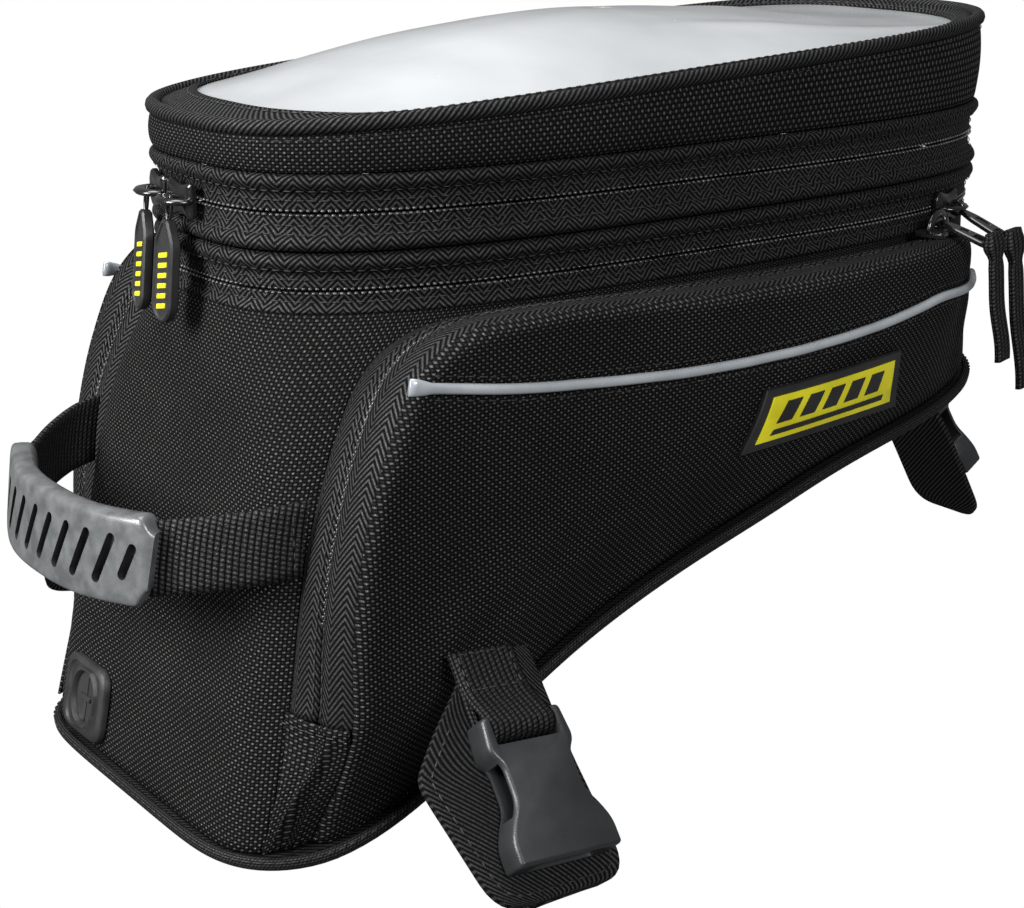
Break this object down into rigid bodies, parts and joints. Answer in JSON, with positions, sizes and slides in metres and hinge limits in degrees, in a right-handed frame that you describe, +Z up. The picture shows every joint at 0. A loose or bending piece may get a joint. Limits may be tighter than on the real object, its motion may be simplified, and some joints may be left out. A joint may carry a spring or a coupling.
{
  "type": "tank bag",
  "caption": "Expandable saddle-shaped tank bag with zipped lid, clear map window, side pockets, rear carry handle and three fixing flaps with release buckles.",
  "frame": {"origin": "underside of the bag's floor, on its centre line, above the crest of the tank saddle", "axes": "+X forward to the steering head, +Y left, +Z up"},
  "size_m": [0.4756, 0.3536, 0.2738],
  "materials": {
    "fabric": "coarse ballistic nylon weave",
    "twill": "fine twill tape",
    "webbing": "ribbed webbing and binding",
    "vinyl": "clear glossy sheet",
    "reflective": "silver retroreflective",
    "rubber": "matte moulded",
    "buckle_plastic": "satin",
    "grip_plastic": "mottled satin",
    "slider_metal": "glossy black",
    "board": "plain",
    "badge": "moulded, yellow face"
  },
  "bodies": {
    "root": {"base_panel": "twill", "base_board": "board", "base_binding": "webbing", "rear_panel": "fabric", "front_panel": "fabric", "left_wall": "fabric", "right_wall": "fabric", "expansion_zip_lower_tape": "twill", "cable_port_frame": "rubber", "cable_port_membrane": "rubber", "left_corner_patch": "fabric", "right_corner_patch": "fabric", "left_pocket_gusset": "twill", "right_pocket_gusset": "twill", "left_pocket_skirt": "fabric", "right_pocket_skirt": "fabric", "left_badge": "badge", "right_badge": "badge"},
    "collar": {"expansion_zip_upper_tape": "twill", "lid_zip_lower_tape": "twill", "expansion_gusset": "fabric"},
    "lid": {"lid_zip_upper_tape": "twill", "lid_band": "fabric", "lid_piping": "webbing", "map_window": "vinyl", "map_pocket_back": "fabric", "lid_hinge_strip": "twill"},
    "left_door": {"left_pocket_door": "fabric", "left_door_gusset": "twill", "left_reflective_piping": "reflective"},
    "right_door": {"right_pocket_door": "fabric", "right_door_gusset": "twill", "right_reflective_piping": "reflective"},
    "handle": {"handle_webbing": "webbing", "handle_grip": "grip_plastic"},
    "left_lid_slider": {"lid_slider_left": "slider_metal"},
    "left_lid_pull": {"lid_pull_left": "rubber"},
    "left_pocket_slider": {"left_pocket_slider": "slider_metal"},
    "left_pocket_pull": {"left_pocket_pull": "slider_metal", "left_pull_tail": "webbing"},
    "right_lid_slider": {"lid_slider_right": "slider_metal"},
    "right_lid_pull": {"lid_pull_right": "rubber"},
    "right_pocket_slider": {"right_pocket_slider": "slider_metal"},
    "right_pocket_pull": {"right_pocket_pull": "slider_metal", "right_pull_tail": "webbing"},
    "expansion_slider": {"expansion_slider": "slider_metal"},
    "expansion_pull": {"expansion_pull": "slider_metal", "expansion_pull_tail": "webbing"},
    "left_flap": {"left_flap": "twill", "left_flap_webbing": "webbing"},
    "left_buckle": {"left_buckle": "buckle_plastic"},
    "right_flap": {"right_flap": "twill", "right_flap_webbing": "webbing"},
    "right_buckle": {"right_buckle": "buckle_plastic"},
    "front_flap": {"front_flap": "twill", "front_flap_webbing": "webbing"},
    "front_buckle": {"front_buckle": "buckle_plastic"}
  },
  "joints": [
    {"name": "expansion", "type": "slide", "parent": "root", "child": "collar", "axis": [0, 0, 1], "range_m": [0, 0.05], "deforming": ["expansion_gusset"]},
    {"name": "lid_hinge", "type": "hinge", "parent": "collar", "child": "lid", "pos_m": [0.1825, 0, 0.1296], "axis": [0, 1, 0], "range_deg": [0, 105], "deforming": ["lid_hinge_strip"]},
    {"name": "left_lid_slider_travel", "type": "hinge", "parent": "collar", "child": "left_lid_slider", "pos_m": [-0.0816, 0, 0.1296], "axis": [0, 0, 1], "range_deg": [-18, 0]},
    {"name": "right_lid_slider_travel", "type": "hinge", "parent": "collar", "child": "right_lid_slider", "pos_m": [-0.0816, 0, 0.1296], "axis": [0, 0, 1], "range_deg": [0, 25]},
    {"name": "left_lid_pull_swing", "type": "hinge", "parent": "left_lid_slider", "child": "left_lid_pull", "pos_m": [-0.18716, 0.02186, 0.1296], "axis": [0.2028, 0.9792, 0], "range_deg": [0, 100]},
    {"name": "right_lid_pull_swing", "type": "hinge", "parent": "right_lid_slider", "child": "right_lid_pull", "pos_m": [-0.1894, 0, 0.1296], "axis": [0, 1, 0], "range_deg": [0, 100]},
    {"name": "expansion_slider_travel", "type": "hinge", "parent": "root", "child": "expansion_slider", "pos_m": [0.04924, 0.21215, 0.1028], "axis": [0, 0, 1], "range_deg": [-1.5, 0]},
    {"name": "expansion_pull_swing", "type": "hinge", "parent": "expansion_slider", "child": "expansion_pull", "pos_m": [0.13289, -0.07242, 0.1028], "axis": [-0.9594, -0.282, 0], "range_deg": [0, 40]},
    {"name": "left_pocket_opening", "type": "hinge", "parent": "root", "child": "left_door", "pos_m": [-0.1855, 0.113, 0], "axis": [-0.9506, 0, -0.3103], "range_deg": [0, 40]},
    {"name": "left_pocket_slider_travel", "type": "slide", "parent": "root", "child": "left_pocket_slider", "axis": [-0.9907, 0.1357, 0.0096], "range_m": [0, 0.012]},
    {"name": "left_pocket_pull_swing", "type": "hinge", "parent": "left_pocket_slider", "child": "left_pocket_pull", "pos_m": [0.11241, 0.08162, 0.10098], "axis": [0.9547, -0.2975, 0], "range_deg": [0, 30]},
    {"name": "right_pocket_opening", "type": "hinge", "parent": "root", "child": "right_door", "pos_m": [-0.1855, -0.113, 0], "axis": [0.9506, 0, 0.3103], "range_deg": [0, 40]},
    {"name": "right_pocket_slider_travel", "type": "slide", "parent": "root", "child": "right_pocket_slider", "axis": [-0.9907, -0.1357, 0.0096], "range_m": [0, 0.012]},
    {"name": "right_pocket_pull_swing", "type": "hinge", "parent": "right_pocket_slider", "child": "right_pocket_pull", "pos_m": [0.11241, -0.08162, 0.10098], "axis": [-0.9547, -0.2975, 0], "range_deg": [0, 30]},
    {"name": "handle_swing", "type": "hinge", "parent": "root", "child": "handle", "pos_m": [-0.187, 0, 0.0275], "axis": [0, 1, 0], "range_deg": [-10, 22]},
    {"name": "left_flap_bend", "type": "hinge", "parent": "root", "child": "left_flap", "pos_m": [-0.136, 0.116, -0.012], "axis": [0.995, 0, -0.0998], "range_deg": [-38, 45]},
    {"name": "left_buckle_tilt", "type": "hinge", "parent": "left_flap", "child": "left_buckle", "pos_m": [-0.14425, 0.14092, -0.02908], "axis": [0.995, 0, -0.0998], "range_deg": [0, 45]},
    {"name": "right_flap_bend", "type": "hinge", "parent": "root", "child": "right_flap", "pos_m": [-0.136, -0.116, -0.012], "axis": [-0.995, 0, 0.0998], "range_deg": [-38, 45]},
    {"name": "right_buckle_tilt", "type": "hinge", "parent": "right_flap", "child": "right_buckle", "pos_m": [-0.14425, -0.14092, -0.02908], "axis": [-0.995, 0, 0.0998], "range_deg": [0, 45]},
    {"name": "front_flap_bend", "type": "hinge", "parent": "root", "child": "front_flap", "pos_m": [0.1715, 0, 0.0215], "axis": [0, -1, 0], "range_deg": [-45, 40]},
    {"name": "front_buckle_tilt", "type": "hinge", "parent": "front_flap", "child": "front_buckle", "pos_m": [0.19304, 0, -0.00028], "axis": [0, -1, 0], "range_deg": [0, 45]}
  ]
}
